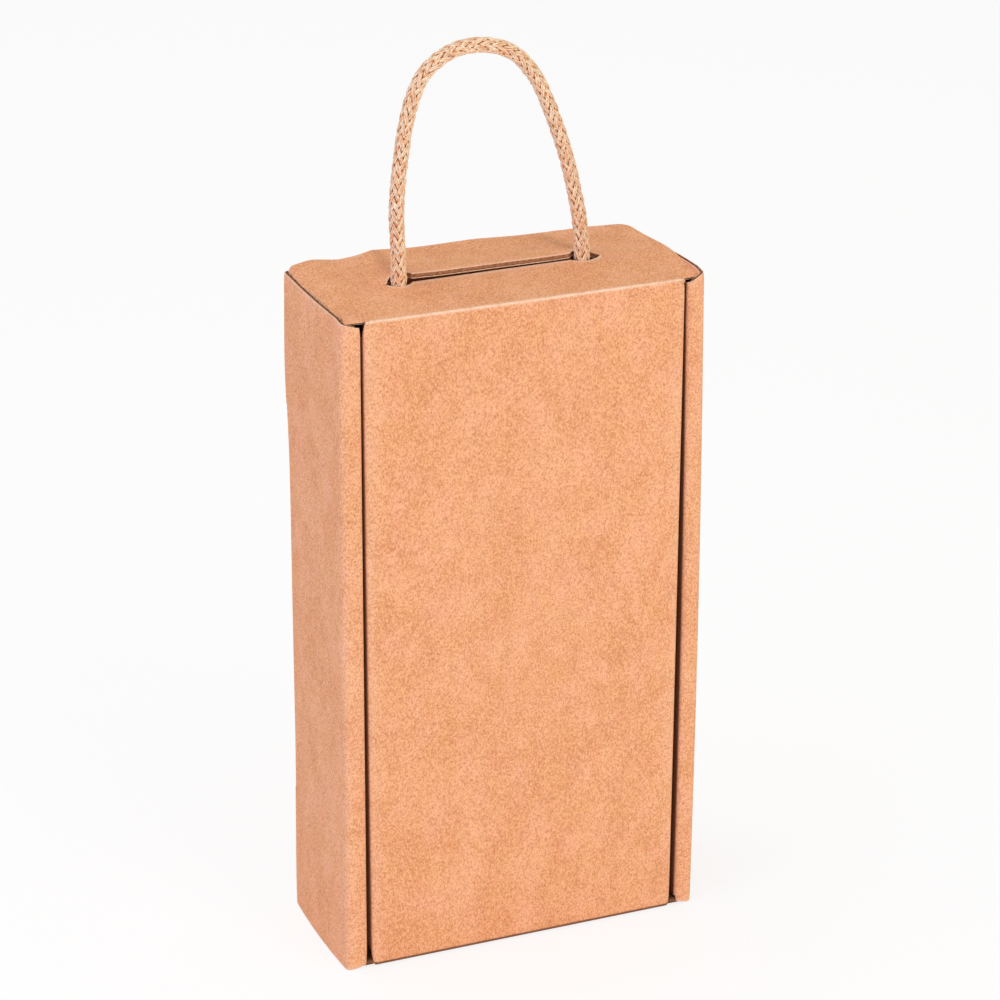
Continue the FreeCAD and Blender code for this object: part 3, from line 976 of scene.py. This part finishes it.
def flap_ends(u):
    a = np.abs(u)
    front = np.where(a > LID_X - 0.3, 1.6 + 0.5 * smooth(a, LID_X, LID_X + 3), -T / 2 * 0.99)
    r = np.where(u < 0, *FLAP_CORNERS)
    corner = np.clip(a - (FLAP_X - r), 0, r)
    rear = FLAP_L - r + np.sqrt(np.clip(r**2 - corner**2, 0, None))
    rear = rear + 0.4 * np.sin(u / 23.0) + 0.25 * np.sin(u / 9.0 + 1)
    return front, rear


def slit_gap(u):
    """Half the opening of the slit: pointed eyes round the rope, all but shut between them."""
    gap = np.where((u > EYES[0][0]) & (u < EYES[1][1]), 0.25, 0.0)
    for a, b in EYES:
        mid, half = (a + b) / 2, (b - a) / 2
        r = (half**2 + EYE_HALF**2) / (2 * EYE_HALF)
        d = np.clip(np.abs(u - mid), 0, half)
        gap = np.maximum(gap, np.where(np.abs(u - mid) < half, np.sqrt(r * r - d * d) - (r - EYE_HALF), 0))
    return gap * smooth(np.minimum(u - EYES[0][0], EYES[1][1] - u), -0.01, 0.3)


def flap_rows(u):
    front, rear = flap_ends(u)
    gap = slit_gap(u)
    out = []
    for a, b, g in zip(front, rear, gap):
        lip = g if g < 0.3 else max(0.25, 0.8 * g)
        steps = np.linspace(0, 1, FLAP_STEPS + 1)[1:]
        first = np.concatenate([a + FLAP_NEAR, a + 2.5 + (SLIT_V - lip - 2.6 - a) * steps])
        first[-1] = SLIT_V - lip
        second = SLIT_V + g + (b - SLIT_V - g) * REAR_SHARES
        out.append(np.concatenate([first, second]))
    return np.array(out)


# The waves of the flap's rear edge: places across it and how high each lies.
REAR_X = [-99.2, -95.8, -84, -72.3, -63, -53, -32.8, -13.7, 4.2, 27.4, 48.4, 73.1, 90.9, 99]
REAR_RISE = [-0.6, 0.9, 0.2, -1.7, -1.0, 0.6, -0.8, -1.1, -1.3, -2.6, -3.2, -3.0, -3.6, -3.4]


def flap_lift(u, v, part):
    """The flap's waves, and the rear lip that stands above the front one between the rope's legs."""
    back = smooth(v, 26, 82)
    rise = np.interp(u, REAR_X, REAR_RISE) * back
    rise = rise - smooth(-u, 84, 99.5) * (1.5 * smooth(v, 3, 20) + 1.6 * smooth(v, 20, 75))
    between = smooth(u, -63.0, -54.0) * smooth(-u, -59.0, -51.0)
    high = np.interp(u, [-54, -30, 30, 52], [4.3, 3.6, 3.2, 3.4])
    lip = between * np.exp(-((np.clip(v - SLIT_V, 0, None) / 24.0) ** 1.5))
    front = between * np.exp(-np.clip(SLIT_V - v, 0, None) / 9.0)
    return rise + np.where(part == 1, high * lip, -0.4 * front)


def flap_place(u, v, w, part):
    front, rear = flap_ends(u[:, 0])
    edge = np.minimum(v - front[:, None], rear[:, None] - v)
    crease = np.abs(u) < LID_X - 0.3
    crushed = 1 - 0.62 * np.exp(-np.clip(v - front[:, None], 0, None) / 2.2)
    rounded = nose(v - front[:, None], T / 2 * 0.99) * 0.99
    w = w * np.where(crease & (v < 5), rounded, pinch(edge) * np.where(crease, 1, crushed))
    rise = flap_lift(u, v, part)
    y = FRONT_Y + v * math.cos(TILT) - w * math.sin(TILT)
    rise = rise - fold_drop(u) * smooth(-v, -40, 0)
    x = u * (1 + 0.015 * np.clip(1 - v / 8, 0, 1)) + LID_SHIFT * np.clip(1 - v / 30, 0, 1)
    x = x + 1.2 * smooth(u, 20, 88) * np.clip(1 - v / 20, 0, 1)
    x = x - smooth(u, 60, 97) * (5.2 * smooth(y, -22, 36) - 1.0)
    x = x - smooth(-u, 60, 98) * (left_bow(y) + 0.3 + 0.9 * smooth(v, 20, 80))
    z = H - T / 2 + v * math.sin(TILT) + w * math.cos(TILT) + rise
    return np.stack([x, y, z], axis=-1)


def flap_wear(u, v, w):
    front, rear = flap_ends(u[:, 0])
    # A pale line at the front fold: partly a worn crease, partly a painted highlight.
    crease = np.exp(-(((v + 0.4) / 0.9) ** 2)) * (np.abs(u) < LID_X) * (w > 0)
    gap = slit_gap(u[:, 0])[:, None]
    from_slit = np.clip(np.abs(v - SLIT_V) - gap, 0, None)
    lips = np.where((u > EYES[0][0]) & (u < EYES[1][1]), np.exp(-from_slit / 0.8), 0)
    rim = np.exp(-np.clip(rear[:, None] - v, 0, None) / 0.8)
    # Painted shade along the two creases that run back from the rope's holes, where the rear lip rises.
    climb = np.clip((v - SLIT_V) / (FLAP_L - SLIT_V), 0, 1)
    left_crease_shade = np.exp(-(((u + 57.0 - 5.5 * climb) / 3.4) ** 2))
    right_crease_shade = np.exp(-(((u - 50.0 + 9.0 * climb) / 4.2) ** 2))
    crease_shade = 0.30 * (left_crease_shade + right_crease_shade) * smooth(v, SLIT_V + 3, SLIT_V + 9) * (1 - 0.55 * climb)
    crease_shade = crease_shade * (w > 0)
    return np.clip(crease + 0.9 * lips + 0.45 * rim - crease_shade, -0.85, 1)


flap_u = [np.linspace(-FLAP_X, FLAP_X, 60)]
ring = 1 - np.cos(np.linspace(0, math.pi / 2, 10))
flap_u += [FLAP_X - FLAP_CORNERS[1] * ring, FLAP_CORNERS[0] * ring - FLAP_X]
for a, b in EYES:
    flap_u.append(np.linspace(a, b, 29))
    flap_u.append([a + 0.1, a + 0.3, b - 0.3, b - 0.1, a - 0.3, b + 0.3])
flap_u.append([-LID_X + 0.3, LID_X - 0.3, -LID_X + 0.25, LID_X - 0.25])
flap_u = np.unique(np.round(np.concatenate(flap_u), 3))
flap = Board(flap_place, flap_wear)
flap.sheet(flap_u, flap_rows, FLAP_SPLIT)
flap_obj = flap.build("flap_panel", "flap")
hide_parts("top_flap")

CARD = 1.5  # thickness of the divider
CARD_H = 300.0
CARD_NEAR = [0.0006, 0.0015, 0.003, 0.006, 0.012]
wing_y = HD - T - 0.5 - CARD / 2
half_card = [(1.2, -HD + T + 5.0), (1.2, wing_y), (IN_X - T / 2 - 1.4, wing_y)]
card_track = Track([(-x, y) for x, y in reversed(half_card)] + half_card, 1.0, 1)


def card_place(u, v, w, part):
    p, n = card_track.find(u[:, 0])
    xy = p[:, None] + n[:, None] * (w * pinch(np.minimum(v - T, T + CARD_H - v)))[..., None]
    return np.concatenate([xy, v[..., None]], axis=-1)


def card_rows(u):
    return rows_between(u * 0 + T, u * 0 + T + CARD_H, 14, CARD_NEAR)


card = Board(card_place, None, CARD)
card.sheet(columns(card_track), card_rows)
card_obj = card.build("divider_card", "carton", [KRAFT_IN, KRAFT_IN, MEDIUM, EDGE])
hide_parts("bottle_divider")

def stage_and_light():
    """A pale floor that keeps the shadow, a white background and three soft lights."""
    n = Nodes("floor")
    path = n.tree.nodes.new("ShaderNodeLightPath")
    n.tree.nodes.remove(n.bsdf)
    glow = n.tree.nodes.new("ShaderNodeEmission")
    glow.inputs[0].default_value = (1, 1, 1, 1)
    glow.inputs[1].default_value = 1.05
    diffuse = n.tree.nodes.new("ShaderNodeBsdfDiffuse")
    diffuse.inputs[0].default_value = (0.93, 0.93, 0.93, 1)
    mix = n.tree.nodes.new("ShaderNodeMixShader")
    seen = n.math("MULTIPLY", path.outputs["Is Camera Ray"], 0.74)
    n.link(seen, mix.inputs[0])
    n.link(diffuse.outputs[0], mix.inputs[1])
    n.link(glow.outputs[0], mix.inputs[2])
    n.link(mix.outputs[0], n.out.inputs[0])
    mesh = bpy.data.meshes.new("floor")
    s = 6.0
    mesh.from_pydata([(-s, -s, 0), (s, -s, 0), (s, s, 0), (-s, s, 0)], [], [(0, 1, 2, 3)])
    mesh.materials.append(n.mat)
    floor = bpy.data.objects.new("floor", mesh)
    bpy.context.collection.objects.link(floor)
    floor.location.z = -0.0002

    world = bpy.data.worlds.new("world")
    bpy.context.scene.world = world
    world.use_nodes = True
    tree = world.node_tree
    tree.nodes.clear()
    out = tree.nodes.new("ShaderNodeOutputWorld")
    soft = tree.nodes.new("ShaderNodeBackground")
    soft.inputs[0].default_value = (1, 1, 1, 1)
    soft.inputs[1].default_value = 0.62
    white = tree.nodes.new("ShaderNodeBackground")
    white.inputs[0].default_value = (1, 1, 1, 1)
    white.inputs[1].default_value = 1.0
    path = tree.nodes.new("ShaderNodeLightPath")
    mix = tree.nodes.new("ShaderNodeMixShader")
    tree.links.new(path.outputs["Is Camera Ray"], mix.inputs[0])
    tree.links.new(soft.outputs[0], mix.inputs[1])
    tree.links.new(white.outputs[0], mix.inputs[2])
    tree.links.new(mix.outputs[0], out.inputs[0])

    for name, place, size, power, colour in (
        ("key", (0.9, -2.5, 0.55), 1.4, 26, (1.0, 0.91, 0.78)),
        ("fill", (-2.3, -1.0, 0.2), 1.8, 13, (0.97, 0.97, 1.95)),
        ("over", (-0.7, 0.1, 2.4), 1.6, 14, (1.0, 0.95, 0.90)),
    ):
        data = bpy.data.lights.new(name, "AREA")
        data.size = size
        data.energy = power
        data.color = colour
        lamp = bpy.data.objects.new(name, data)
        bpy.context.collection.objects.link(lamp)
        lamp.location = place
        aim = Vector((0, 0, 0.2)) - Vector(place)
        lamp.rotation_euler = aim.to_track_quat("-Z", "Y").to_euler()


stage_and_light()
bpy.context.scene.view_settings.view_transform = "Standard"
